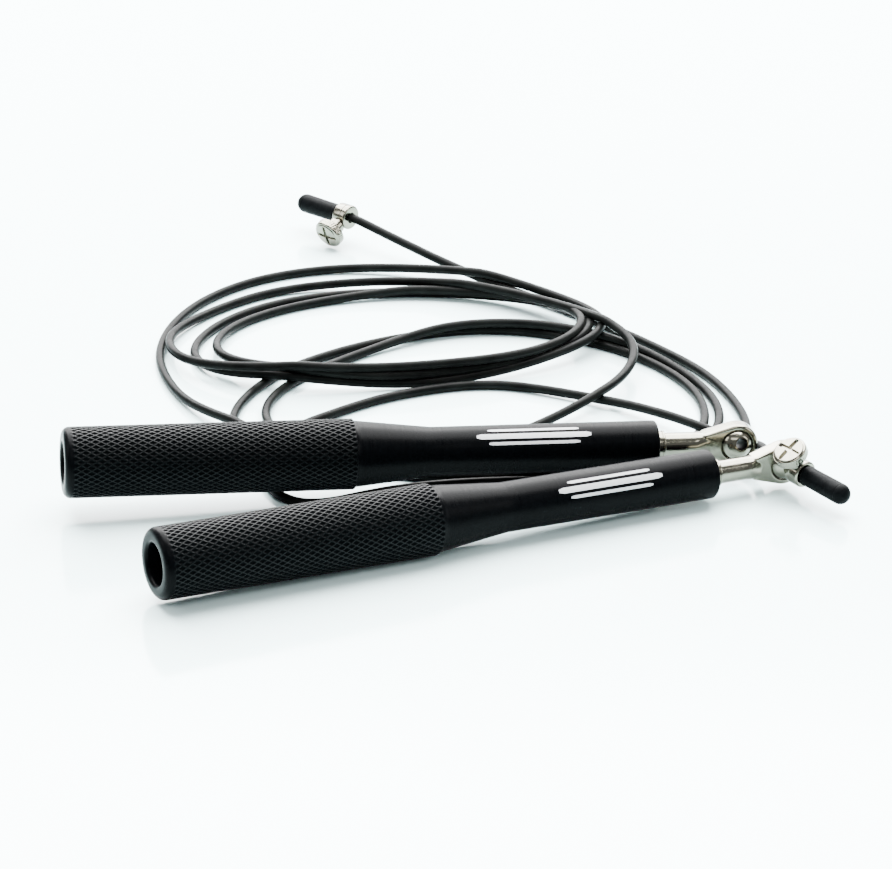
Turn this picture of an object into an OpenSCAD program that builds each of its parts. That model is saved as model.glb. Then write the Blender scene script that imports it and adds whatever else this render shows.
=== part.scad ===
// Speed jump rope: two ball-bearing handles with swivel eyes, and one coiled
// coated steel cable. Millimetres, +Z up, standing on Z = 0.
// Handle A holds the cable's near end. Handle B lies on the coil, unthreaded.

/* [Handle] */
// Length of the knurled grip
grip_l = 73.5; // [60:0.5:90]
// Diameter of the knurled grip
grip_d = 18; // [17:0.5:22]
// Length of the cone between grip and barrel
cone_l = 20; // [12:0.5:30]
// Diameter of the smooth neck where the cone starts
neck_d = 17; // [16:0.5:17]
// Length of the smooth barrel
barrel_l = 58.3; // [50:0.1:70]
// Diameter of the smooth barrel
barrel_d = 12.6; // [12:0.1:15]
// Bore that opens at the rear of the grip
rear_bore_d = 10.4; // [9:0.1:11]
// Bore between the grip and the bearing seat
barrel_bore_d = 8; // [7:0.1:8.4]
// Rounding of the rear lip
lip_round = 1.9; // [1:0.1:2.5]

/* [Bearings] */
// Bore of each ball bearing
bearing_bore = 4; // [4:0.1:4.2]
// Outside diameter of each ball bearing
bearing_od = 10; // [9.9:0.1:10.2]
// Width of each ball bearing
bearing_w = 4; // [3.4:0.1:4.5]
// Number of balls in each bearing
ball_count = 7; // [6:1:7]
// Sleeve length between the two bearings
sleeve_l = 14; // [10:0.5:20]

/* [Spindle] */
// Diameter of the spindle outside the handle
spindle_d = 6; // [5:0.1:6.5]
// Diameter of the collar next to the bearing
shoulder_d = 7.2; // [6.6:0.1:7.6]
// Distance from the handle's front face to the middle of the eye
eye_reach = 21; // [19:0.5:26]
// Outside diameter of the eye
eye_d = 11; // [10.8:0.1:12]
// Thickness of the eye along its hole
eye_t = 4.4; // [4:0.1:4.6]
// Diameter of the swivel ball
swivel_d = 8.8; // [8.6:0.1:8.8]
// Cable hole through the swivel ball
swivel_bore_d = 3; // [2.8:0.1:3.4]

/* [Cable] */
// Diameter of the coated cable
cable_d = 2.5; // [2.4:0.05:2.5]
// Mean outside radius of the coil
coil_r = 80; // [78:1:84]
// Width of the ring that the turns lie in
coil_w = 18; // [10:1:24]
// Diameter of the clamp collars
clamp_d = 7; // [6.5:0.1:7.2]
// Length of the clamp collars
clamp_l = 4.5; // [4:0.1:5.5]
// Diameter of the thumbscrew heads
thumb_d = 8.8; // [8:0.1:9.6]
// Diameter of the end caps
cap_d = 5.4; // [5:0.1:6]
// Length of the end caps
cap_l = 15; // [12:0.5:18]

/* [Hidden] */
$fn = 64;

// Stations along a handle, from its rear face
cone_s = grip_l;
barrel_s = grip_l + cone_l;
handle_l = barrel_s + barrel_l;
front_recess = 0.5;
front_s = handle_l - front_recess - bearing_w;
rear_s = front_s - sleeve_l - bearing_w;
bore_step_s = barrel_s - cone_l * 0.9;
eye_s = handle_l + eye_reach;

// Clearances: a turning fit, a slip fit and an air gap
run_gap = 0.03;
slip_gap = 0.05;
air_gap = 0.3;

// Bearing rings
race_r = (bearing_bore + bearing_od) / 4;
bearing_ball_r = 0.75;
ring_gap = 1.2;
inner_ring_r = race_r - ring_gap / 2;
outer_ring_r = race_r + ring_gap / 2;
cage_t = 0.6;
cage_w = 2.4;

// Spindle tail
tail_r = bearing_bore / 2 - 0.01;
screw_r = 1.25;
screw_l = 8;
washer_t = 0.6;
washer_r = 2.8;
screw_head_r = 2.4;
screw_head_h = 1.8;
shoulder_l = 2.6;
socket_r = swivel_d / 2 + 0.06;

// Where each handle lies: nose-down tilt, heading and rear face
tilt_a = 1.2;
tilt_b = 1.5;
yaw_a = 26;
yaw_b = 10.4;
height_a = grip_d / 2 * cos(tilt_a) + grip_l * sin(tilt_a);
place_a = [-66.8, -39.9, height_a];
place_b = [-93, 11.6, 13.5];
function heading(yaw, drop) = [cos(drop) * cos(yaw), cos(drop) * sin(yaw), -sin(drop)];
eye_a = place_a + eye_s * heading(yaw_a, tilt_a);
bore_yaw_b = -67.5;
bore_drop_b = -16;

// Near end of the cable: ball, clamp and cap
clamp_start = 4.5;
clamp_mid = clamp_start + clamp_l / 2;
cap_start = clamp_start + clamp_l + 0.2;
end_yaw_a = -50;
end_drop_a = 3;
screw_turn_a = 212;

// Far end of the cable: propped on the rim of its thumbscrew
thumb_t = 3;
thumb_lift = clamp_d / 2 + 2.8;
far_yaw = 140.6;
far_turn = 65;
far_dip = 90 - far_turn;
far_height = (thumb_lift + thumb_t) * sin(far_dip) + thumb_d / 2 * cos(far_dip);
far_clamp = [-27.5, 199.5, far_height];

// Ring of the coil
coil_centre = [2, 94.5, 0];
layer = cable_d - 0.1;
back_arc = 200;
back_start = -10;

// Route of the near lead, from the coil to the swivel ball of handle A
near_dir = heading(end_yaw_a, end_drop_a);
near_route = [
  [-44, 49, 1.3], [-39.5, 58.5, 1.3], [-31, 69.5, 1.3], [-10, 86.5, 1.3], [16, 94.5, 1.3],
  [45, 84, 2], [61, 71, 3.7], [74, 59, 4], [80.5, 51.8, 5], [83.8, 47, 6.2],
  eye_a - 8 * near_dir + [0.9, 0.6, 0], eye_a - 5 * near_dir,
  eye_a, eye_a + 6 * near_dir, eye_a + 11 * near_dir, eye_a + (cap_start + 9) * near_dir
];
// Route of the far lead, from the coil to the far end cap
far_dir = heading(far_yaw, 0);
far_route = [
  [47, 136.5, 1.4], [33, 150, 1.4], [18, 162.5, 1.8], [2.5, 175, 3.4],
  [-12.5, 187.2, 5.8], far_clamp - 4 * far_dir,
  far_clamp, far_clamp + 6 * far_dir, far_clamp + (clamp_l / 2 + 9) * far_dir
];
lead_steps = 3;
lead_sides = 8;

// ---- Shared helpers ----

// Children built about +Z are laid along a handle
module along(place, yaw, drop) {
  translate(place) rotate([0, 90 + drop, yaw]) children();
}

module lay(which) {
  if (which == "a") along(place_a, yaw_a, tilt_a) children();
  else along(place_b, yaw_b, tilt_b) children();
}

// Children built about +Z are laid along one end of the cable
module cable_end(which) {
  if (which == "a") along(eye_a, end_yaw_a, end_drop_a) children();
  else along(far_clamp - clamp_mid * far_dir, far_yaw, 0) children();
}

module ring(outer, inner, from, to) {
  translate([0, 0, from]) difference() {
    cylinder(r = outer, h = to - from);
    translate([0, 0, -1]) cylinder(r = inner, h = to - from + 2);
  }
}

// Quarter arc about a centre, as profile points
function arc(centre, radius, from, to, steps) =
  [for (i = [0 : steps]) let (a = from + (to - from) * i / steps)
    centre + radius * [cos(a), sin(a)]];

// Catmull-Rom point between b and c
function spline(a, b, c, d, t) =
  0.5 * (2 * b + (c - a) * t + (2 * a - 5 * b + 4 * c - d) * t * t
  + (3 * b - a - 3 * c + d) * t * t * t);

function smooth(route, steps) = let (n = len(route)) concat(
  [for (i = [0 : n - 2], k = [0 : steps - 1]) spline(
    route[max(i - 1, 0)], route[i], route[i + 1], route[min(i + 2, n - 1)], k / steps)],
  [route[n - 1]]);

function unit(v) = v / norm(v);

// A tube with flat ends, swept along points
module sweep(points, radius, sides) {
  n = len(points);
  dirs = [for (i = [0 : n - 1]) unit(points[min(i + 1, n - 1)] - points[max(i - 1, 0)])];
  rings = [for (i = [0 : n - 1])
    let (across = unit(cross([0, 0, 1], dirs[i])), over = cross(dirs[i], across))
    for (k = [0 : sides - 1]) points[i] + radius * (cos(360 * k / sides) * across
      + sin(360 * k / sides) * over)];
  walls = [for (i = [0 : n - 2], k = [0 : sides - 1])
    [i * sides + k, (i + 1) * sides + k, (i + 1) * sides + (k + 1) % sides,
     i * sides + (k + 1) % sides]];
  first = [for (k = [0 : sides - 1]) k];
  last = [for (k = [sides - 1 : -1 : 0]) (n - 1) * sides + k];
  polyhedron(rings, concat([first], walls, [last]));
}

// ---- Handle ----

module handle_tube(which) {
  nose_round = 0.7;
  color([0.07, 0.07, 0.08]) lay(which) rotate_extrude() polygon(concat(
    [[rear_bore_d / 2, 0.8], [rear_bore_d / 2 + 0.8, 0]],
    arc([grip_d / 2 - lip_round, lip_round], lip_round, -90, 0, 8),
    [[grip_d / 2, cone_s], [neck_d / 2, cone_s], [barrel_d / 2, barrel_s]],
    arc([barrel_d / 2 - nose_round, handle_l - nose_round], nose_round, 0, 90, 5),
    [[bearing_od / 2 + slip_gap / 5, handle_l], [bearing_od / 2 + slip_gap / 5, rear_s],
     [barrel_bore_d / 2, rear_s], [barrel_bore_d / 2, bore_step_s + 1.2],
     [rear_bore_d / 2, bore_step_s]]));
}

// ---- Bearings ----

module race_cut(from) {
  translate([0, 0, from + bearing_w / 2]) rotate_extrude()
    translate([race_r, 0]) circle(r = bearing_ball_r + run_gap, $fn = 32);
}

module bearing_outer(which, from) {
  color([0.75, 0.76, 0.78]) lay(which) difference() {
    ring(bearing_od / 2, outer_ring_r, from, from + bearing_w);
    race_cut(from);
  }
}

module bearing_inner(which, from) {
  color([0.75, 0.76, 0.78]) lay(which) difference() {
    ring(inner_ring_r, bearing_bore / 2, from, from + bearing_w);
    race_cut(from);
  }
}

module bearing_balls(which, from) {
  color([0.85, 0.86, 0.88]) lay(which) for (i = [0 : ball_count - 1])
    rotate([0, 0, 360 * i / ball_count])
      translate([race_r, 0, from + bearing_w / 2]) sphere(r = bearing_ball_r, $fn = 32);
}

module bearing_cage(which, from) {
  middle = from + bearing_w / 2;
  color([0.72, 0.62, 0.35]) lay(which) difference() {
    ring(race_r + cage_t / 2, race_r - cage_t / 2, middle - cage_w / 2, middle + cage_w / 2);
    for (i = [0 : ball_count - 1])
      rotate([0, 0, 360 * i / ball_count]) translate([race_r - 1, 0, middle])
        rotate([0, 90, 0]) cylinder(r = bearing_ball_r + slip_gap, h = 2);
  }
}

// Sleeve on the spindle that keeps the inner rings apart
module bearing_sleeve(which) {
  color([0.7, 0.71, 0.73]) lay(which)
    ring(inner_ring_r - 0.2, bearing_bore / 2, rear_s + bearing_w, front_s);
}

// ---- Spindle ----

module spindle(which) {
  shoulder_s = front_s + bearing_w;
  eye_r = eye_d / 2;
  shaft_end = eye_s - eye_r + 0.9;
  color([0.78, 0.77, 0.73]) lay(which) union() {
    difference() {
      translate([0, 0, rear_s]) cylinder(r = tail_r, h = shoulder_s - rear_s + 1);
      translate([0, 0, rear_s - 1]) cylinder(r = screw_r + slip_gap, h = screw_l + 1);
    }
    translate([0, 0, shoulder_s]) cylinder(r = shoulder_d / 2, h = shoulder_l);
    translate([0, 0, shoulder_s]) cylinder(r = spindle_d / 2, h = shaft_end - shoulder_s);
    translate([0, 0, eye_s]) rotate([90, 0, 0]) difference() {
      cylinder(r = eye_r, h = eye_t, center = true);
      sphere(r = socket_r);
    }
  }
}

module tail_washer(which) {
  color([0.8, 0.8, 0.8]) lay(which)
    ring(washer_r, screw_r + slip_gap, rear_s - washer_t, rear_s);
}

module tail_screw(which) {
  head_s = rear_s - washer_t - screw_head_h;
  color([0.65, 0.66, 0.68]) lay(which) difference() {
    union() {
      translate([0, 0, head_s]) cylinder(r = screw_head_r, h = screw_head_h);
      translate([0, 0, head_s]) cylinder(r = screw_r, h = screw_head_h + washer_t + screw_l - 1);
    }
    for (turn = [0, 90])
      rotate([0, 0, turn]) translate([-1.5, -0.25, head_s - 1]) cube([3, 0.5, 1.9]);
  }
}

// Ball that swivels in the eye, drilled for the cable
module drilled_ball() {
  difference() {
    sphere(r = swivel_d / 2);
    cylinder(r = swivel_bore_d / 2, h = swivel_d + 2, center = true);
  }
}

module swivel_ball(which) {
  color([0.82, 0.82, 0.8])
    if (which == "a") along(eye_a, end_yaw_a, end_drop_a) drilled_ball();
    else along(place_b + eye_s * heading(yaw_b, tilt_b), bore_yaw_b, bore_drop_b) drilled_ball();
}

// ---- Cable ----

module cable_coil() {
  inset = layer / 2;
  color([0.1, 0.1, 0.1]) translate(coil_centre) union() {
    rotate_extrude() translate([coil_r - coil_w, 0]) square([coil_w, layer]);
    rotate([0, 0, back_start]) rotate_extrude(angle = back_arc)
      translate([coil_r - coil_w + inset, inset]) square([coil_w - 2 * inset, 2 * layer - inset]);
  }
}

module cable_lead(which) {
  color([0.1, 0.1, 0.1])
    sweep(smooth(which == "a" ? near_route : far_route, lead_steps), cable_d / 2, lead_sides);
}

module clamp_collar(which) {
  turn = which == "a" ? screw_turn_a : far_turn;
  bevel = 0.6;
  color([0.8, 0.79, 0.76]) cable_end(which) difference() {
    translate([0, 0, clamp_start]) rotate_extrude() polygon([
      [cable_d / 2 + slip_gap, 0], [clamp_d / 2 - bevel, 0], [clamp_d / 2, bevel],
      [clamp_d / 2, clamp_l - bevel], [clamp_d / 2 - bevel, clamp_l],
      [cable_d / 2 + slip_gap, clamp_l]]);
    rotate([0, 0, turn]) translate([0, 0, clamp_mid]) rotate([0, 90, 0])
      cylinder(r = 1.5 + slip_gap, h = clamp_d);
  }
}

// Screw that pinches the cable, with a domed and cross-cut head
module thumbscrew(which) {
  turn = which == "a" ? screw_turn_a : far_turn;
  head_r = thumb_d / 2;
  dome = 0.8;
  tip = cable_d / 2 + 0.1;
  color([0.82, 0.81, 0.78]) cable_end(which)
    rotate([0, 0, turn]) translate([0, 0, clamp_mid]) rotate([0, 90, 0]) difference() {
      rotate_extrude() polygon([
        [0, tip], [1.5, tip], [1.5, clamp_d / 2 + air_gap], [2.4, clamp_d / 2 + air_gap],
        [2.4, thumb_lift], [head_r, thumb_lift], [head_r, thumb_lift + thumb_t - dome],
        [head_r - 0.9, thumb_lift + thumb_t - 0.3], [head_r - 2.2, thumb_lift + thumb_t],
        [0, thumb_lift + thumb_t]]);
      for (slot = [0, 90])
        rotate([0, 0, slot]) translate([-3, -0.5, thumb_lift + thumb_t - 0.8]) cube([6, 1, 2]);
    }
}

module end_cap(which) {
  round_r = cap_d / 2;
  bore_r = cable_d / 2 + slip_gap;
  bore_l = 9.4;
  color([0.08, 0.08, 0.08]) cable_end(which) translate([0, 0, cap_start])
    rotate_extrude() polygon(concat(
      [[bore_r, 0], [round_r - 0.4, 0], [round_r, 0.4]],
      arc([0, cap_l - round_r], round_r, 0, 90, 8),
      [[0, bore_l], [bore_r, bore_l]]));
}

// ---- Assembly ----

handle_tube("a");  // handle_tube_a
bearing_outer("a", front_s);  // front_bearing_outer_a
bearing_inner("a", front_s);  // front_bearing_inner_a
bearing_balls("a", front_s);  // front_bearing_balls_a
bearing_cage("a", front_s);  // front_bearing_cage_a
bearing_outer("a", rear_s);  // rear_bearing_outer_a
bearing_inner("a", rear_s);  // rear_bearing_inner_a
bearing_balls("a", rear_s);  // rear_bearing_balls_a
bearing_cage("a", rear_s);  // rear_bearing_cage_a
bearing_sleeve("a");  // bearing_sleeve_a
spindle("a");  // spindle_a
tail_washer("a");  // tail_washer_a
tail_screw("a");  // tail_screw_a
swivel_ball("a");  // swivel_ball_a
handle_tube("b");  // handle_tube_b
bearing_outer("b", front_s);  // front_bearing_outer_b
bearing_inner("b", front_s);  // front_bearing_inner_b
bearing_balls("b", front_s);  // front_bearing_balls_b
bearing_cage("b", front_s);  // front_bearing_cage_b
bearing_outer("b", rear_s);  // rear_bearing_outer_b
bearing_inner("b", rear_s);  // rear_bearing_inner_b
bearing_balls("b", rear_s);  // rear_bearing_balls_b
bearing_cage("b", rear_s);  // rear_bearing_cage_b
bearing_sleeve("b");  // bearing_sleeve_b
spindle("b");  // spindle_b
tail_washer("b");  // tail_washer_b
tail_screw("b");  // tail_screw_b
swivel_ball("b");  // swivel_ball_b
cable_coil();
cable_lead("a");  // cable_lead_a
cable_lead("b");  // cable_lead_b
clamp_collar("a");  // clamp_collar_a
clamp_collar("b");  // clamp_collar_b
thumbscrew("a");  // thumbscrew_a
thumbscrew("b");  // thumbscrew_b
end_cap("a");  // end_cap_a
end_cap("b");  // end_cap_b
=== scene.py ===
import math
import bpy
import numpy as np
from mathutils import Matrix, Vector


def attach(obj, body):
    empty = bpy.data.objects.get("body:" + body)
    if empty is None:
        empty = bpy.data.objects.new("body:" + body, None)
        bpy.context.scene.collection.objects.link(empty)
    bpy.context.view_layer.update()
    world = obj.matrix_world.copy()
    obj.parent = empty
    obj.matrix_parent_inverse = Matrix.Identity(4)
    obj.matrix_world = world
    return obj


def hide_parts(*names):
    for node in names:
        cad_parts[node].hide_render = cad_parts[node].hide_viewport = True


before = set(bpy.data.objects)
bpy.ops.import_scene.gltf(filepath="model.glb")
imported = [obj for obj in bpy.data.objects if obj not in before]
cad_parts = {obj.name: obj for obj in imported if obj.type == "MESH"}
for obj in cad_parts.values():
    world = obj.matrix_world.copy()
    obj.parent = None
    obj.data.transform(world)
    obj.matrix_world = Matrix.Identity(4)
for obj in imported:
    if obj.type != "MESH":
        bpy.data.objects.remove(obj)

# ---- Sizes, in millimetres, as in part.scad ----

GRIP_L, GRIP_D, CONE_L, NECK_D, BARREL_L, BARREL_D = 73.5, 18.0, 20.0, 17.0, 58.3, 12.6
REAR_BORE_D, BARREL_BORE_D, LIP = 10.4, 8.0, 1.9
FRONT_RECESS, BEARING_W, SLEEVE_L = 0.5, 4.0, 14.0
SHOULDER_D, SHOULDER_L, SPINDLE_D, AXLE_D = 7.2, 2.6, 6.0, 4.0
EYE_REACH, EYE_D, EYE_T = 21.0, 11.0, 4.4
SWIVEL_D, SWIVEL_BORE_D = 8.8, 3.0
CABLE_D, CLAMP_D, CLAMP_L, THUMB_D, CAP_D, CAP_L = 2.5, 7.0, 4.5, 8.8, 5.4, 15.0
THUMB_T = 3.0
THUMB_LIFT = CLAMP_D / 2 + 2.8
MM = 0.001

# Stations along a handle, from its rear face
BARREL_S = GRIP_L + CONE_L
BORE_STEP_S = BARREL_S - 0.9 * CONE_L
HANDLE_L = BARREL_S + BARREL_L
FRONT_S = HANDLE_L - (FRONT_RECESS + BEARING_W)
REAR_S = FRONT_S - (SLEEVE_L + BEARING_W)
EYE_S = HANDLE_L + EYE_REACH

# Places and angles, as in part.scad
TILT = {"a": 1.2, "b": 1.5}
YAW = {"a": 26.0, "b": 10.4}


def heading(yaw, drop):
    """Unit vector at a yaw from +X, dropping below the level, both in degrees."""
    y, d = math.radians(yaw), math.radians(drop)
    return np.array([math.cos(d) * math.cos(y), math.cos(d) * math.sin(y), -math.sin(d)])


LEAN_A = math.radians(TILT["a"])
HEIGHT_A = GRIP_D / 2 * math.cos(LEAN_A) + GRIP_L * math.sin(LEAN_A)
PLACE = {"a": np.array([-66.8, -39.9, HEIGHT_A]), "b": np.array([-93.0, 11.6, 13.5])}
EYE = {s: PLACE[s] + EYE_S * heading(YAW[s], TILT[s]) for s in "ab"}
CLAMP_START = 4.5
CLAMP_MID = CLAMP_START + CLAMP_L / 2
CAP_START = CLAMP_START + CLAMP_L + 0.2
END_YAW_A, END_DROP_A = -50.0, 3.0
BORE_YAW_B, BORE_DROP_B = -67.5, -16.0
SCREW_TURN = {"a": 212.0, "b": 65.0}
FAR_YAW = 140.6
FAR_DIP = math.radians(90 - SCREW_TURN["b"])
FAR_HEIGHT = (THUMB_LIFT + THUMB_T) * math.sin(FAR_DIP) + THUMB_D / 2 * math.cos(FAR_DIP)
FAR_CLAMP = np.array([-27.5, 199.5, FAR_HEIGHT])
NEAR_DIR = heading(END_YAW_A, END_DROP_A)
FAR_DIR = heading(FAR_YAW, 0)


def turn_z(deg):
    c, s = math.cos(math.radians(deg)), math.sin(math.radians(deg))
    return np.array([[c, -s, 0], [s, c, 0], [0, 0, 1]])


def turn_y(deg):
    c, s = math.cos(math.radians(deg)), math.sin(math.radians(deg))
    return np.array([[c, 0, s], [0, 1, 0], [-s, 0, c]])


def placed(axes, metres):
    """The matrix whose first three columns are axes, at a point in metres."""
    rows = [[*map(float, axes[i]), float(metres[i])] for i in range(3)]
    return Matrix(rows + [[0, 0, 0, 1]])


def along(place, yaw, drop):
    """Matrix, in metres, that lays something built about +Z along a heading."""
    return placed(turn_z(yaw) @ turn_y(90 + drop), place * MM)


LAY = {s: along(PLACE[s], YAW[s], TILT[s]) for s in "ab"}
CABLE_END = {
    "a": along(EYE["a"], END_YAW_A, END_DROP_A),
    "b": along(FAR_CLAMP - CLAMP_MID * FAR_DIR, FAR_YAW, 0),
}
BALL = {"a": CABLE_END["a"], "b": along(EYE["b"], BORE_YAW_B, BORE_DROP_B)}

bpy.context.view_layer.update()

# ---- Camera ----

PITCH, ROLL = math.radians(23.97), math.radians(1.18)
CAMERA_AT = (0.0027, -1.0375, 0.4898)
forward = np.array([0, math.cos(PITCH), -math.sin(PITCH)])
level_up = np.array([0, math.sin(PITCH), math.cos(PITCH)])
right = math.cos(ROLL) * np.array([1.0, 0, 0]) + math.sin(ROLL) * level_up
upward = -math.sin(ROLL) * np.array([1.0, 0, 0]) + math.cos(ROLL) * level_up
camera_data = bpy.data.cameras.new("camera")
camera_data.sensor_fit = "HORIZONTAL"
camera_data.sensor_width = 36
camera_data.lens = 186.2
camera_data.clip_start = 0.01
camera_data.clip_end = 20
camera = bpy.data.objects.new("camera", camera_data)
bpy.context.scene.collection.objects.link(camera)
camera.matrix_world = placed(np.column_stack([right, upward, -forward]), CAMERA_AT)
bpy.context.scene.camera = camera

# ---- Mesh helpers ----


def add_object(name, verts, faces, matrix=None, sharp=35.0):
    """A smooth-shaded mesh object from points in millimetres."""
    mesh = bpy.data.meshes.new(name)
    mesh.from_pydata((np.asarray(verts, float) * MM).tolist(), [], faces)
    mesh.polygons.foreach_set("use_smooth", [True] * len(mesh.polygons))
    if sharp:
        mesh.set_sharp_from_angle(angle=math.radians(sharp))
    obj = bpy.data.objects.new(name, mesh)
    bpy.context.scene.collection.objects.link(obj)
    if matrix is not None:
        obj.matrix_world = matrix
    return obj


def ease(t):
    """Smooth step from 0 to 1, for t from 0 to 1."""
    return t * t * (3 - 2 * t)


def ring(theta, radius, height):
    """Points at the angles theta about Z; radius is one number or one to an angle."""
    return np.stack([radius * np.cos(theta), radius * np.sin(theta),
                     np.full(len(theta), float(height))], 1)


def join_shells(shells):
    """One list of points and faces from several."""
    verts, faces, start = [], [], 0
    for points, polys in shells:
        verts.append(np.asarray(points, float))
        faces += [tuple(i + start for i in f) for f in polys]
        start += len(points)
    return np.vstack(verts), faces


def rings_shell(rings, loop=False):
    """Points and faces of a closed surface through rings of equal size. Rings run
    round it; loop joins the last ring to the first, otherwise the ends are capped."""
    rings = np.asarray(rings, float)
    count, around = rings.shape[:2]
    faces = []
    for i in range(count if loop else count - 1):
        a, b = i * around, ((i + 1) % count) * around
        for k in range(around):
            n = (k + 1) % around
            faces.append((a + k, a + n, b + n, b + k))
    if not loop:
        faces.append(tuple(range(around - 1, -1, -1)))
        faces.append(tuple((count - 1) * around + k for k in range(around)))
    return rings.reshape(-1, 3), faces


def lathe_shell(profile, around=96, loop=False, shape=None):
    """A profile of (radius, height) turned about Z. shape(theta, radius) may change
    each point's radius."""
    theta = np.linspace(0, 2 * np.pi, around, endpoint=False)
    rings = [ring(theta, shape(theta, r) if shape else r, z) for r, z in profile]
    return rings_shell(rings, loop)


def fillet(centre, radius, start, end, steps):
    """Points of an arc, angles in degrees, for a (radius, height) profile."""
    return [(centre[0] + radius * math.cos(math.radians(a)),
             centre[1] + radius * math.sin(math.radians(a)))
            for a in np.linspace(start, end, steps + 1)]


# ---- Materials ----


class Shade:
    """A procedural material: a Principled shader and a few helpers."""

    def __init__(self, name, metallic=0.0, roughness=0.5, specular=0.5):
        self.material = bpy.data.materials.new(name)
        self.material.use_nodes = True
        self.tree = self.material.node_tree
        self.shader = self.tree.nodes["Principled BSDF"]
        self.shader.inputs["Metallic"].default_value = metallic
        self.shader.inputs["Roughness"].default_value = roughness
        self.shader.inputs["Specular IOR Level"].default_value = specular
        self.coord = self.tree.nodes.new("ShaderNodeTexCoord").outputs["Object"]
        self.bump_in = None

    def link(self, a, b):
        self.tree.links.new(a, b)

    def noise(self, scale, detail=3.0, roughness=0.5, stretch=None):
        """Noise with features about 1 / scale metres across."""
        node = self.tree.nodes.new("ShaderNodeTexNoise")
        node.inputs["Scale"].default_value = scale
        node.inputs["Detail"].default_value = detail
        node.inputs["Roughness"].default_value = roughness
        source = self.coord
        if stretch:
            mapping = self.tree.nodes.new("ShaderNodeMapping")
            mapping.inputs["Scale"].default_value = stretch
            self.link(source, mapping.inputs["Vector"])
            source = mapping.outputs["Vector"]
        self.link(source, node.inputs["Vector"])
        return node.outputs["Fac"]

    def ramp(self, source, stops, socket):
        """source drives a shader socket through colour stops (position, value)."""
        node = self.tree.nodes.new("ShaderNodeValToRGB")
        elements = node.color_ramp.elements
        while len(elements) < len(stops):
            elements.new(0.5)
        for element, (position, value) in zip(elements, stops):
            element.position = position
            colour = value if hasattr(value, "__len__") else (value,) * 3
            element.color = (*colour, 1.0)
        self.link(source, node.inputs["Fac"])
        self.link(node.outputs["Color"], self.shader.inputs[socket])

    def bump(self, source, distance, strength=1.0):
        """source raises the surface by up to distance millimetres."""
        node = self.tree.nodes.new("ShaderNodeBump")
        node.inputs["Distance"].default_value = distance * MM
        node.inputs["Strength"].default_value = strength
        self.link(source, node.inputs["Height"])
        if self.bump_in is not None:
            self.link(self.bump_in, node.inputs["Normal"])
        self.bump_in = node.outputs["Normal"]
        self.link(self.bump_in, self.shader.inputs["Normal"])


def make_anodised():
    s = Shade("black_anodised", roughness=0.3, specular=0.02)
    s.ramp(s.noise(900, 4), [(0.3, (0.0003, 0.0004, 0.0006)), (0.7, (0.0007, 0.0009, 0.0012))],
           "Base Color")
    marks = s.noise(1, 2, 0.6, stretch=(60, 60, 3600))
    s.ramp(marks, [(0.25, 0.24), (0.75, 0.42)], "Roughness")
    s.bump(marks, 0.012, 0.55)
    s.bump(s.noise(7000, 2), 0.006, 0.35)
    return s.material


# Painted shade: the knurl's pits get a duller, barely reflective copy of the black anodising,
# standing in for the shade that falls into them.
def make_pit_painted_shade():
    s = Shade("knurl_pit_painted_shade", roughness=0.45, specular=0.006)
    s.ramp(s.noise(1500, 4), [(0.3, (0.0004, 0.0006, 0.0008)), (0.7, (0.0010, 0.0014, 0.0017))],
           "Base Color")
    s.ramp(s.noise(2600, 3), [(0.3, 0.38), (0.7, 0.56)], "Roughness")
    s.bump(s.noise(9000, 2), 0.012, 0.5)
    return s.material


# Painted highlight: the knurl's ridge crests get a lighter, glossier copy of the black anodising,
# standing in for the light they catch.
def make_ridge_painted_highlight():
    s = Shade("knurl_ridge_painted_highlight", roughness=0.26, specular=0.06)
    s.ramp(s.noise(1500, 4), [(0.3, (0.0006, 0.0010, 0.0012)), (0.7, (0.0018, 0.0026, 0.0029))],
           "Base Color")
    s.ramp(s.noise(2600, 3), [(0.3, 0.22), (0.7, 0.42)], "Roughness")
    s.bump(s.noise(9000, 2), 0.012, 0.5)
    return s.material


def make_nickel():
    s = Shade("nickel_plate", metallic=1.0, roughness=0.16, specular=0.5)
    tint = (0.17, 0.163, 0.130)
    low = tuple(0.86 * c for c in tint)
    s.ramp(s.noise(420, 4), [(0.32, low), (0.68, tint)], "Base Color")
    s.ramp(s.noise(1700, 4, 0.6), [(0.3, 0.10), (0.72, 0.26)], "Roughness")
    s.bump(s.noise(1500, 3), 0.010, 0.35)
    s.bump(s.noise(6000, 2), 0.004, 0.4)
    return s.material


def make_steel(name, colour, roughness):
    s = Shade(name, metallic=1.0, roughness=roughness)
    s.ramp(s.noise(700, 3), [(0.3, tuple(0.8 * c for c in colour)), (0.7, colour)], "Base Color")
    s.ramp(s.noise(3000, 3), [(0.3, roughness * 0.7), (0.7, min(1.0, roughness * 1.4))],
           "Roughness")
    s.bump(s.noise(5000, 2), 0.006, 0.3)
    return s.material


def make_cable():
    s = Shade("cable_coating", roughness=0.36, specular=0.02)
    s.ramp(s.noise(160, 5), [(0.3, (0.0018, 0.0020, 0.0019)), (0.7, (0.0045, 0.0050, 0.0047))],
           "Base Color")
    s.ramp(s.noise(900, 4), [(0.3, 0.26), (0.7, 0.46)], "Roughness")
    s.bump(s.noise(700, 3), 0.03, 0.3)
    s.bump(s.noise(4500, 2), 0.008, 0.4)
    return s.material


def make_rubber():
    s = Shade("cap_rubber", roughness=0.40, specular=0.015)
    s.ramp(s.noise(700, 4), [(0.3, (0.0010, 0.0012, 0.0014)), (0.7, (0.0024, 0.0028, 0.0031))],
           "Base Color")
    s.ramp(s.noise(1800, 4), [(0.3, 0.34), (0.7, 0.58)], "Roughness")
    s.bump(s.noise(3800, 3), 0.02, 0.4)
    return s.material


def make_print():
    s = Shade("print_white", roughness=0.5, specular=0.3)
    s.ramp(s.noise(2600, 4), [(0.3, (0.34, 0.35, 0.36)), (0.7, (0.42, 0.43, 0.44))],
           "Base Color")
    s.bump(s.noise(7000, 2), 0.004, 0.4)
    return s.material


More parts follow.
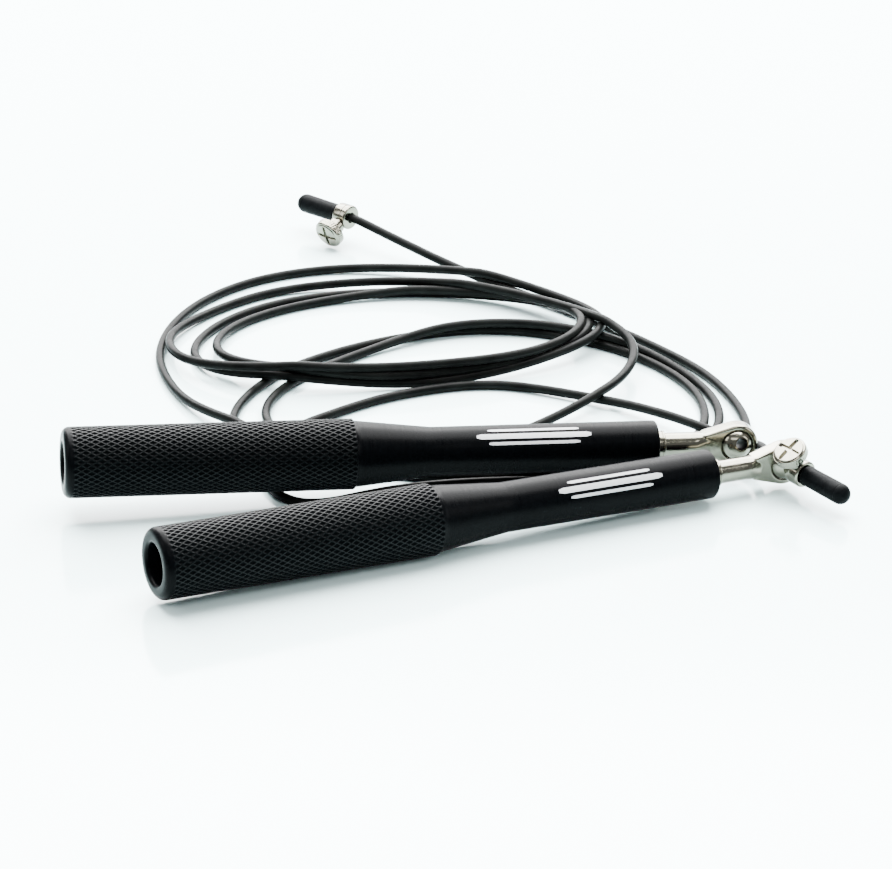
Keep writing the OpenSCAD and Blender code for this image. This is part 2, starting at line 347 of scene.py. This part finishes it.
def make_floor():
    s = Shade("floor", roughness=0.12, specular=0.6)
    s.ramp(s.noise(3.0, 2), [(0.3, (0.66, 0.845, 0.85)), (0.7, (0.68, 0.86, 0.865))],
           "Base Color")
    s.ramp(s.noise(9.0, 3), [(0.3, 0.10), (0.7, 0.15)], "Roughness")
    return s.material


ANODISED, PIT_SHADE, RIDGE_HIGHLIGHT, NICKEL = make_anodised(), make_pit_painted_shade(), make_ridge_painted_highlight(), make_nickel()
CABLE, RUBBER, PRINT = make_cable(), make_rubber(), make_print()
STEEL = make_steel("bearing_steel", (0.62, 0.63, 0.65), 0.22)
ZINC = make_steel("plain_steel", (0.52, 0.53, 0.55), 0.35)
BRASS = make_steel("cage_brass", (0.74, 0.56, 0.28), 0.3)
# Painted shade: near-black steel on the wall of the ball's hole, standing in for the shade inside
# it.
BORE_SHADE = make_steel("bore_painted_shade", (0.012, 0.012, 0.011), 0.5)

# ---- The cable ----

SPAN_STEPS = 12       # curve points between two route points
SPACING = 1.5         # between the points of the finished line
BLEND = 14.0          # points over which a lead gives way to smoothed coil
NEIGHBOURS = 12       # points each way that count as the same stretch
RAISED_Z = 3.4        # lead points above this don't carry the coil
BLOCK = 40            # points laid down at a time
CLIMB = 0.10          # rise to a millimetre where a strand crosses another, before smoothing


def spline(route, steps):
    """The same curve as the lead tubes follow: Catmull-Rom, steps to a span."""
    route = [np.asarray(p, float) for p in route]
    n, out = len(route), []
    for i in range(n - 1):
        a, b = route[max(i - 1, 0)], route[i]
        c, d = route[i + 1], route[min(i + 2, n - 1)]
        for k in range(steps):
            t = k / steps
            out.append(0.5 * (2 * b + (c - a) * t + (2 * a - 5 * b + 4 * c - d) * t * t
                              + (3 * b - a - 3 * c + d) * t ** 3))
    return out + [route[-1]]


NEAR_ROUTE = [
    (-44, 49, 1.3), (-39.5, 58.5, 1.3), (-31, 69.5, 1.3), (-10, 86.5, 1.3), (16, 94.5, 1.3),
    (45, 84, 2), (61, 71, 3.7), (74, 59, 4), (80.5, 51.8, 5), (83.8, 47, 6.2),
    EYE["a"] - 8 * NEAR_DIR + np.array([0.9, 0.6, 0]), EYE["a"] - 5 * NEAR_DIR,
    EYE["a"], EYE["a"] + 6 * NEAR_DIR, EYE["a"] + 11 * NEAR_DIR,
    EYE["a"] + (CAP_START + 9) * NEAR_DIR,
]
FAR_ROUTE = [
    (47, 136.5, 1.4), (33, 150, 1.4), (18, 162.5, 1.8), (2.5, 175, 3.4),
    (-12.5, 187.2, 5.8), FAR_CLAMP - 4 * FAR_DIR,
    FAR_CLAMP, FAR_CLAMP + 6 * FAR_DIR, FAR_CLAMP + (CLAMP_L / 2 + 9) * FAR_DIR,
]

# Plan points of each turn from the far lead to the near lead. They were read off the photo,
# carried to the floor through the camera, then rounded and adjusted.
TURNS = [
    [(60, 122), (74, 102), (82, 73), (78, 54), (62, 43), (34, 35), (5, 31), (-16, 24),
     (-30, 14.5), (-39, 19), (-47, 42), (-54, 67)],
    [(-47, 92), (-33, 110), (-10, 126), (17, 133.5), (45, 124), (62, 107), (70.5, 88),
     (70, 67), (60, 50), (40, 40), (12, 34.5), (-14, 36), (-35, 46), (-45, 66)],
    [(-42, 88), (-27, 108), (-2, 128), (22, 132.5), (48, 124), (66, 106), (74.5, 86),
     (73.5, 66), (60, 46.5), (38, 37), (14, 37.5), (-14, 39), (-40, 50), (-56, 66)],
    [(-65, 76), (-72, 93), (-75.5, 110), (-73, 132), (-64, 152), (-48, 168), (-25, 176),
     (-2, 172), (17, 164), (34, 152), (46, 134), (43, 120), (32, 111), (17, 102),
     (-12, 93), (-46, 93), (-61, 99)],
    [(-67, 111), (-62, 130), (-46, 148), (-20, 158), (8, 158), (28, 150), (41, 136),
     (42, 124), (30, 111), (10, 100), (-18, 92), (-42, 94), (-56, 101)],
    [(-61, 114), (-56, 132), (-38, 148), (-12, 157), (12, 155), (30, 146), (40, 132),
     (38, 119), (24, 106), (2, 97), (-24, 92), (-50, 92), (-66, 98)],
    [(-72, 108), (-73.5, 122), (-64, 140), (-47, 157), (-28, 163), (-8, 161), (22, 150),
     (42, 131), (53.5, 115), (52, 100), (44, 85), (28, 68), (6, 50), (-14, 42),
     (-32, 41)],
]


def by_arc(points, step):
    """The polyline again, with points about a step apart along it."""
    gaps = np.linalg.norm(np.diff(points, axis=0), axis=1)
    where = np.concatenate([[0], np.cumsum(gaps)])
    new = np.linspace(0, where[-1], int(round(where[-1] / step)) + 1)
    return np.stack([np.interp(new, where, points[:, k]) for k in range(points.shape[1])], 1)


def soften(values, width, keep):
    """Gaussian smoothing along the line; rows where keep is 1 stay as they are."""
    reach = int(3 * width)
    kernel = np.exp(-0.5 * (np.arange(-reach, reach + 1) / width) ** 2)
    kernel /= kernel.sum()
    padded = np.pad(values, ((reach, reach), (0, 0)), mode="edge")
    smooth = np.stack([np.convolve(padded[:, k], kernel, "valid")
                       for k in range(values.shape[1])], 1)
    return values * keep[:, None] + smooth * (1 - keep[:, None])


def cable_line():
    """The cable from the far cap to the near cap: its points in plan, the heights that
    the leads give, which points the leads fix, and how much of each point is kept."""
    far = np.array(spline(FAR_ROUTE, SPAN_STEPS))[::-1]
    near = np.array(spline(NEAR_ROUTE, SPAN_STEPS))
    flat = [tuple(p[:2]) for p in FAR_ROUTE[3::-1]]
    for turn in TURNS:
        flat += turn
    flat += [tuple(p[:2]) for p in NEAR_ROUTE[:4]]
    coil = np.array(spline([(x, y, 0.0) for x, y in flat], SPAN_STEPS))
    overlap = 5 * SPAN_STEPS
    first = int(np.argmin(np.linalg.norm(coil[:overlap, :2] - far[-1, :2], axis=1)))
    tail = len(coil) - overlap
    last = tail + int(np.argmin(np.linalg.norm(coil[tail:, :2] - near[0, :2], axis=1)))
    coil = coil[first + 1:last]
    # 0 on the far lead, 1 on the coil and 2 on the near lead
    kind = np.concatenate([np.zeros(len(far)), np.ones(len(coil)), np.full(len(near), 2.0)])
    line = by_arc(np.column_stack([np.vstack([far, coil, near]), kind]), SPACING)
    kind = line[:, 3]
    fixed = (kind < 0.01) | (kind > 1.99)
    index = np.arange(len(line))
    lo, hi = index[~fixed][0], index[~fixed][-1]
    freed = np.clip(np.minimum(index - lo, hi - index) / BLEND, 0, 1)
    keep = 1 - np.where(fixed, 0, freed)
    return soften(line[:, :2], 5, keep), line[:, 2], fixed, keep


def lay_heights(plan, given, fixed, keep):
    """Each free stretch rests on the floor, or on what was laid before it."""
    radius = CABLE_D / 2
    index = np.arange(len(plan))
    height = np.where(fixed, given, radius)
    need = np.full(len(plan), radius)
    laid = fixed & (given <= RAISED_Z)
    order = index[~fixed]
    for start in range(0, len(order), BLOCK):
        part = order[start:start + BLOCK]
        for i in part:
            near = laid & (np.abs(index - i) > NEIGHBOURS)
            d = np.linalg.norm(plan[near] - plan[i], axis=1)
            close = d < CABLE_D * 0.999
            if close.any():
                rest = height[near][close] + np.sqrt(CABLE_D ** 2 - d[close] ** 2)
                need[i] = max(need[i], rest.max())
        laid[part] = True
        height[part] = need[part]
    slope = CLIMB * SPACING
    hump = need.copy()
    for i in range(1, len(hump)):
        hump[i] = max(hump[i], hump[i - 1] - slope)
    for i in range(len(hump) - 2, -1, -1):
        hump[i] = max(hump[i], hump[i + 1] - slope)
    hump = np.where(fixed, given, hump)
    shape = hump[:, None]
    for _ in range(3):
        shape = np.maximum(soften(shape, 4, keep), need[:, None] * (~fixed)[:, None])
        shape = np.where(fixed[:, None], given[:, None], shape)
    shape = soften(shape, 1.5, keep)
    return np.maximum(np.where(fixed, given, shape[:, 0]), radius * 0.98)


plan, given, fixed, keep = cable_line()
line = np.column_stack([plan, lay_heights(plan, given, fixed, keep)])
line = soften(line, 1.2, np.zeros(len(line)))

curve = bpy.data.curves.new("cable", "CURVE")
curve.dimensions = "3D"
curve.bevel_depth = CABLE_D / 2 * MM
curve.bevel_resolution = 4
curve.use_fill_caps = True
strand = curve.splines.new("POLY")
strand.points.add(len(line) - 1)
strand.points.foreach_set("co", np.column_stack([line * MM, np.ones(len(line))]).ravel())
strand.use_smooth = True
cable = bpy.data.objects.new("cable", curve)
bpy.context.scene.collection.objects.link(cable)
cable.data.materials.append(CABLE)
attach(cable, "rope")
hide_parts("cable_coil", "cable_lead_a", "cable_lead_b")

# ---- Handles ----

KNURL_STARTS = 38     # helices each way
KNURL_LONG = 2.6      # pitch along the grip
KNURL_DEPTH = 0.30    # from a ridge to the bottom of a pit
PER_CELL = 10         # mesh steps to a cell of the net
CREST = 0.11          # half the width of a ridge, in cells
FLANK = 0.22          # width of a ridge's side, in cells


def knurl_gap(theta, s):
    """Distance, in cells, to the nearest ridge of the two crossing helices."""
    turn = theta / (2 * np.pi) * KNURL_STARTS
    u, v = turn + s / KNURL_LONG, turn - s / KNURL_LONG
    return np.minimum(np.abs(u - np.round(u)), np.abs(v - np.round(v)))


def knurl_depth(theta, s):
    """How far the surface lies below the ridges: diamond pits between them."""
    return KNURL_DEPTH * ease(np.clip((knurl_gap(theta, s) - CREST * 0.6) / FLANK, 0, 1))


def handle_profile():
    """(radius, station, knurled) points, from the bore's rear edge round and back."""
    bore, outer, neck, barrel = REAR_BORE_D / 2, GRIP_D / 2, NECK_D / 2, BARREL_D / 2
    points = [(r, s, 0) for r, s in fillet((bore + 0.9, 0.9), 0.9, 180, 270, 6)]
    points += [(r, s, 0) for r, s in fillet((outer - LIP, LIP), LIP, -90, 0, 10)]
    step = KNURL_LONG / PER_CELL
    start, end = LIP + 0.35, GRIP_L - 0.12
    points += [(outer, s, 1) for s in np.arange(start, end, step)]
    points += [(outer - 0.10, GRIP_L - 0.05, 0), (outer - 0.28, GRIP_L, 0), (neck + 0.12, GRIP_L, 0),
               (neck, GRIP_L + 0.12, 0)]
    points += [(neck + (barrel - neck) * t, GRIP_L + CONE_L * t, 0)
               for t in np.linspace(0.08, 0.985, 16)]
    points += [(barrel, BARREL_S + t * (BARREL_L - 0.8), 0) for t in np.linspace(0.005, 1, 24)]
    points += [(r, s, 0) for r, s in fillet((barrel - 0.7, HANDLE_L - 0.7), 0.7, 12, 90, 6)]
    seat = 5.01
    points += [(seat + 0.15, HANDLE_L, 0), (seat, HANDLE_L - 0.15, 0), (seat, REAR_S, 0),
               (BARREL_BORE_D / 2, REAR_S, 0), (BARREL_BORE_D / 2, BORE_STEP_S + 1.2, 0),
               (bore, BORE_STEP_S, 0), (bore, 40, 0)]
    return points


def make_handle(side):
    profile = handle_profile()
    around = KNURL_STARTS * PER_CELL
    theta = np.linspace(0, 2 * np.pi, around, endpoint=False)
    rings = []
    for r, s, knurled in profile:
        radius = np.full(around, float(r))
        if knurled:
            fade = min(1.0, s - LIP, (GRIP_L - s) / 0.5)
            radius -= knurl_depth(theta, s) * max(0.0, fade)
        rings.append(ring(theta, radius, s))
    verts, faces = rings_shell(rings, loop=True)
    obj = add_object("handle_" + side + "_body", verts, faces, LAY[side], sharp=50)
    # The knurl's pits take the painted-shade copy of the anodising (index 1) and its ridge crests
    # the painted-highlight copy (index 2); other faces stay plain anodising (0).
    for material in (ANODISED, PIT_SHADE, RIDGE_HIGHLIGHT):
        obj.data.materials.append(material)
    half_step = np.pi / around
    painted_light_index = []
    for (_, s, knurled), (_, next_s, next_knurled) in zip(profile, profile[1:] + profile[:1]):
        if knurled and next_knurled:
            gap = knurl_gap(theta + half_step, (s + next_s) / 2)
            painted_light_index += np.where(gap < CREST, 2, 1).tolist()
        else:
            painted_light_index += [0] * around
    obj.data.polygons.foreach_set("material_index", painted_light_index)
    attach(obj, "handle_" + side)
    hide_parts("handle_tube_" + side)


def make_mark(side, start, end, middle):
    """Three plain printed stripes on the barrel: a generic mark with no lettering."""
    shells = []
    outer = BARREL_D / 2 + 0.02
    for lift, width, inset in [(-2.0, 0.8, 3.0), (0.0, 1.5, 0.0), (2.0, 0.8, 3.0)]:
        s0, s1 = start + inset, end - inset
        rings = []
        for s in np.linspace(s0, s1, 24):
            edge = min(1.0, max(0.15, min(s - s0, s1 - s) / (width / 2)))
            half = width / 2 * math.sqrt(1 - (1 - edge) ** 2)
            section = []
            for r in (outer, outer - 0.06):
                arc = np.linspace(-half, half, 7) / outer + math.radians(middle) + lift / outer
                if r < outer:
                    arc = arc[::-1]
                section += [(r * math.cos(a), r * math.sin(a), s) for a in arc]
            rings.append(section)
        shells.append(rings_shell(rings))
    verts, faces = join_shells(shells)
    obj = add_object("mark_" + side, verts, faces, LAY[side], sharp=50)
    obj.data.materials.append(PRINT)
    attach(obj, "handle_" + side)


for side in "ab":
    make_handle(side)
make_mark("a", 106.5, 135.5, 228)
make_mark("b", 104.5, 134.0, 214)

# ---- Spindles and swivel balls ----


def eye_shell(reach):
    """The ring that holds the ball. Its outline runs tangent into the shaft as a wedge,
    which starts reach millimetres from the eye's centre."""
    half, outer = EYE_T / 2, EYE_D / 2
    socket = SWIVEL_D / 2 + 0.06
    mouth = math.sqrt(socket ** 2 - half ** 2)
    lean = math.asin(half / socket)
    wall = [(socket * math.cos(a), socket * math.sin(a)) for a in np.linspace(-lean, lean, 17)]
    profile = wall[1:-1] + [(mouth + 0.30, half)]
    profile += fillet((outer - 0.9, half - 0.9), 0.9, 80, 0, 6)
    profile += fillet((outer - 0.9, -half + 0.9), 0.9, 0, -80, 6)
    profile += [(mouth + 0.30, -half)]
    foot = SPINDLE_D / 2
    corner = math.atan2(foot, reach)
    touch = math.acos(outer / math.hypot(reach, foot)) + corner

    def outline(theta, r):
        off = np.abs((theta + np.pi / 2 + np.pi) % (2 * np.pi) - np.pi)
        wedge = outer / np.cos(np.clip(touch - off, 0, touch - corner))
        wedge = np.where(off < corner, reach / np.cos(off), wedge)
        return (r + wedge - outer) if r > outer - 1 else np.full(len(theta), r)

    verts, faces = lathe_shell(profile, 160, loop=True, shape=outline)
    return verts[:, [0, 2, 1]], [f[::-1] for f in faces]


def shaft_shell(reach):
    """Round at the shoulder, flattened and squarer in section where it joins the eye."""
    foot, half = SPINDLE_D / 2, EYE_T / 2
    theta = np.linspace(0, 2 * np.pi, 96, endpoint=False)
    c, s = np.cos(theta), np.sin(theta)
    rings = []
    for z in np.linspace(HANDLE_L - FRONT_RECESS - EYE_S, -EYE_D / 2 + 0.9, 60):
        flat = min(1.0, max(0.0, (z + reach + 2) / 5))
        thick = foot + (half - 0.1 - foot) * ease(flat)
        power = 2 / (2 + 1.6 * flat)
        x = foot * np.sign(c) * np.abs(c) ** power
        y = thick * np.sign(s) * np.abs(s) ** power
        rings.append(np.stack([x, y, np.full(len(theta), z)], 1))
    return rings_shell(rings)


def remeshed(name, shells, voxel, smooth):
    """One skin over several closed shells, with soft inside corners."""
    verts, faces = join_shells(shells)
    rough = add_object(name + "_rough", verts, faces, sharp=None)
    skin = rough.modifiers.new("skin", "REMESH")
    skin.mode = "VOXEL"
    skin.voxel_size = voxel * MM
    relax = rough.modifiers.new("relax", "SMOOTH")
    relax.factor = 0.5
    relax.iterations = smooth
    graph = bpy.context.evaluated_depsgraph_get()
    mesh = bpy.data.meshes.new_from_object(rough.evaluated_get(graph))
    bpy.data.objects.remove(rough)
    return mesh


def make_eye(side, mesh):
    mesh.polygons.foreach_set("use_smooth", [True] * len(mesh.polygons))
    eye = bpy.data.objects.new("spindle_" + side + "_eye", mesh)
    bpy.context.scene.collection.objects.link(eye)
    eye.matrix_world = LAY[side] @ Matrix.Translation(Vector((0, 0, EYE_S * MM)))
    mesh.materials.append(NICKEL)
    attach(eye, "spindle_" + side)
    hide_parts("spindle_" + side)


def make_shoulder(side):
    """The collar against the barrel, and the axle behind it that carries the bearings."""
    r, edge, axle = SHOULDER_D / 2, 0.25, AXLE_D / 2
    s0 = HANDLE_L - FRONT_RECESS
    s1 = s0 + SHOULDER_L
    collar = [(3.2, s0)] + fillet((r - edge, s0 + edge), edge, -90, 0, 4)
    collar += [(r, s1 - 0.9), (r - 0.12, s1 - 0.8), (r - 0.12, s1 - 0.65), (r, s1 - 0.55)]
    collar += fillet((r - edge, s1 - edge), edge, 0, 90, 4) + [(2.8, s1)]
    tail = [(1.3, REAR_S), (axle - 0.05, REAR_S), (axle - 0.01, REAR_S + 0.3),
            (axle - 0.01, s0 + 0.2)]
    verts, faces = join_shells([lathe_shell(collar, 128), lathe_shell(tail, 64)])
    root = add_object("spindle_" + side + "_shoulder", verts, faces, LAY[side], sharp=40)
    root.data.materials.append(NICKEL)
    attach(root, "spindle_" + side)


def make_ball(side):
    """The ball with its hole along +Z; the wall of the hole is painted near-black, painted shade
    inside the hole.
    """
    radius, bore, around = SWIVEL_D / 2, SWIVEL_BORE_D / 2, 96
    half = math.sqrt(radius ** 2 - (bore + 0.35) ** 2)
    lean = math.asin(half / radius)
    ball = [(radius * math.cos(a), radius * math.sin(a)) for a in np.linspace(-lean, lean, 49)]
    hole = [(bore + 0.12, half + 0.02), (bore, half - 0.2), (bore, -half + 0.2),
            (bore + 0.12, -half - 0.02)]
    verts, faces = lathe_shell(ball + hole, around, loop=True)
    knuckle = add_object("ball_" + side + "_swivel", verts, faces, BALL[side], sharp=30)
    knuckle.data.materials.append(NICKEL)
    knuckle.data.materials.append(BORE_SHADE)
    # The hole's wall takes the painted-shade material (index 1).
    painted_light_index = [0] * (len(ball) * around) + [1] * (len(hole) * around)
    knuckle.data.polygons.foreach_set("material_index", painted_light_index)
    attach(knuckle, "ball_" + side)
    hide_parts("swivel_ball_" + side)


WEDGE_REACH = 9.0
spindle_mesh = remeshed("eye", [eye_shell(WEDGE_REACH), shaft_shell(WEDGE_REACH)], 0.13, 8)
for side in "ab":
    make_eye(side, spindle_mesh.copy())
    make_shoulder(side)
    make_ball(side)

# ---- Clamps, thumbscrews and caps on the cable ----


def thumb_shell():
    """A pinch screw about +Z: knurled rim, and a domed face with a cross slot."""
    rim, lift, top = THUMB_D / 2, THUMB_LIFT, THUMB_LIFT + THUMB_T
    teeth, tooth, slant = 40, 0.11, 0.45
    dome, slot_half, slot_side, slot_deep, slot_end = 0.42, 0.62, 0.22, 0.75, 3.5
    theta = np.linspace(0, 2 * np.pi, 240, endpoint=False)
    turn = theta * teeth / (2 * np.pi)
    stem = [(0.4, CABLE_D / 2 + 0.1), (1.5, CABLE_D / 2 + 0.35), (1.5, CLAMP_D / 2 + 0.3),
            (2.2, CLAMP_D / 2 + 0.3), (2.4, CLAMP_D / 2 + 0.5), (2.4, lift - 0.1),
            (2.6, lift), (rim - 0.35, lift)]
    rings = [ring(theta, r, z) for r, z in stem]
    for z in np.linspace(lift + 0.3, top - 0.95, 9):
        rise = (z - lift) * slant
        cut = np.abs((turn + rise) % 1 - 0.5) + np.abs((turn - rise) % 1 - 0.5)
        rings.append(ring(theta, rim - tooth * cut, z))
    rings += [ring(theta, r, z) for r, z in fillet((rim - 0.55, top - 0.95), 0.45, 0, 80, 4)]
    for r in np.linspace(rim - 0.7, 0.05, 26):
        x, y = r * np.cos(theta), r * np.sin(theta)
        face = top - dome + dome * math.sqrt(max(0.0, 1 - (r / rim) ** 2))
        across = np.minimum(np.abs(x), np.abs(y))
        slot = ease(np.clip((slot_half * (1 - 0.12 * r / rim) - across) / slot_side, 0, 1))
        reach = np.clip((slot_end - r) / 0.5, 0, 1)
        rings.append(np.stack([x, y, face - slot_deep * slot * reach], 1))
    return rings_shell(rings)


def make_collar(side):
    r, edge, z0 = CLAMP_D / 2, 0.55, CLAMP_START
    z1, bore = z0 + CLAMP_L, CABLE_D / 2 + 0.05
    profile = [(bore, z0 + 0.3), (bore + 0.3, z0)] + fillet((r - edge, z0 + edge), edge, -90, 0, 5)
    profile += [(r, z0 + 1.5), (r - 0.1, z0 + 1.6), (r - 0.1, z0 + 1.8), (r, z0 + 1.9)]
    profile += fillet((r - edge, z1 - edge), edge, 0, 90, 5) + [(bore + 0.3, z1), (bore, z1 - 0.3)]
    verts, faces = lathe_shell(profile, 128, loop=True)
    collar = add_object("collar_" + side, verts, faces, CABLE_END[side], sharp=40)
    collar.data.materials.append(NICKEL)
    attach(collar, "rope")
    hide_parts("clamp_collar_" + side)


def make_screw(side):
    verts, faces = thumb_shell()
    frame_of_screw = CABLE_END[side] @ Matrix.Rotation(math.radians(SCREW_TURN[side]), 4, "Z") \
        @ Matrix.Translation(Vector((0, 0, CLAMP_MID * MM))) \
        @ Matrix.Rotation(math.radians(90), 4, "Y")
    screw = add_object("screw_" + side + "_thumb", verts, faces, frame_of_screw, sharp=38)
    screw.data.materials.append(NICKEL)
    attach(screw, "thumbscrew_" + side)
    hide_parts("thumbscrew_" + side)


def make_cap(side):
    """A rubber sleeve with a domed end and a fine groove where the dome starts."""
    r, z0, bore = CAP_D / 2, CAP_START, CABLE_D / 2 + 0.05
    dome = z0 + CAP_L - r
    profile = [(bore, z0 + 8.8), (bore, z0 + 0.25), (bore + 0.25, z0)]
    profile += fillet((r - 0.35, z0 + 0.35), 0.35, -90, 0, 4)
    profile += [(r, z0 + 1.0), (r - 0.06, z0 + 1.2), (r - 0.08, z0 + 1.5)]
    profile += [(r - 0.08 + 0.08 * t, z0 + 1.5 + t * (CAP_L - r - 1.9))
                for t in np.linspace(0.1, 1, 8)]
    profile += [(r, dome - 0.25), (r - 0.05, dome - 0.18), (r - 0.05, dome - 0.08), (r, dome)]
    profile += fillet((0, dome), r, 6, 88, 12)
    verts, faces = lathe_shell(profile, 96)
    cap = add_object("cap_" + side, verts, faces, CABLE_END[side], sharp=45)
    cap.data.materials.append(RUBBER)
    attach(cap, "rope")
    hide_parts("end_cap_" + side)


for side in "ab":
    make_collar(side)
    make_screw(side)
    make_cap(side)

# ---- Finishes on the CAD pieces that stay ----

for name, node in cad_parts.items():
    if node.hide_render:
        continue
    if "cage" in name:
        finish = BRASS
    elif "tail_" in name or "sleeve" in name:
        finish = ZINC
    else:
        finish = STEEL
    if node.material_slots:
        for entry in node.material_slots:
            entry.material = finish
    else:
        node.data.materials.append(finish)

# ---- Floor and light ----

half = 6.0
corners = [(-half, -half, 0), (half, -half, 0), (half, half, 0), (-half, half, 0)]
floor_mesh = bpy.data.meshes.new("floor")
floor_mesh.from_pydata(corners, [], [(0, 1, 2, 3)])
floor = bpy.data.objects.new("floor", floor_mesh)
bpy.context.scene.collection.objects.link(floor)
floor.data.materials.append(make_floor())


def softbox(name, place, size, power):
    """An area light that points at the middle of the rope."""
    data = bpy.data.lights.new(name, "AREA")
    data.shape = "RECTANGLE"
    data.size, data.size_y = size
    data.energy = power
    obj = bpy.data.objects.new(name, data)
    bpy.context.scene.collection.objects.link(obj)
    obj.location = place
    aim = Vector((0, 0.05, 0)) - Vector(place)
    obj.rotation_euler = aim.to_track_quat("-Z", "Y").to_euler()


softbox("top", (0.0, 0.62, 1.05), (1.7, 1.5), 270)
softbox("back", (0.0, 1.7, 0.75), (2.6, 1.3), 150)
softbox("front", (-0.1, -0.85, 1.0), (1.2, 0.25), 8)
softbox("left", (-1.2, -0.1, 0.7), (0.6, 0.6), 9)
softbox("right", (1.2, -0.2, 0.6), (0.5, 0.6), 8)

world = bpy.data.worlds.new("studio")
bpy.context.scene.world = world
world.use_nodes = True
background = world.node_tree.nodes["Background"]
background.inputs["Color"].default_value = (0.93, 0.97, 0.98, 1)
background.inputs["Strength"].default_value = 0.5
